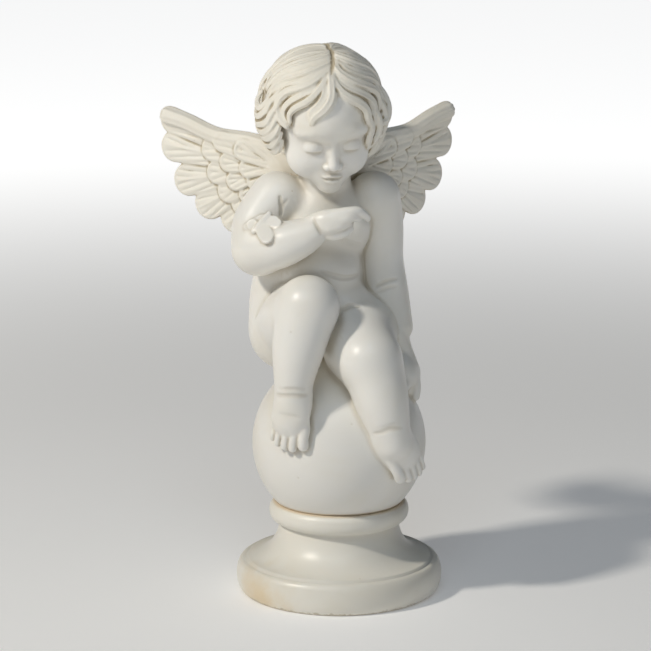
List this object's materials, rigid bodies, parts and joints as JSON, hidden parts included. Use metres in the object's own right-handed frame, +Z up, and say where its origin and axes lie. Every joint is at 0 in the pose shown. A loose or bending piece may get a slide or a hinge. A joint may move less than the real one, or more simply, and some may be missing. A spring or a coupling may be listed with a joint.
{
  "type": "marble winged cherub statue",
  "caption": "White marble winged cherub seated on a ball with one knee raised, a butterfly on its folded arm, on a turned round base.",
  "frame": {"origin": "middle of the base's underside, on the axis of the base and the ball", "axes": "+Z up, the cherub faces -Y, and its left hand is at +X"},
  "size_m": [0.4137, 0.3323, 0.7621],
  "materials": {
    "statue_marble": "polished white marble",
    "base_marble": "polished white marble, weathered to cream near the ground"
  },
  "bodies": {
    "root": {"cherub_on_ball": "statue_marble", "turned_base": "base_marble"}
  },
  "joints": []
}
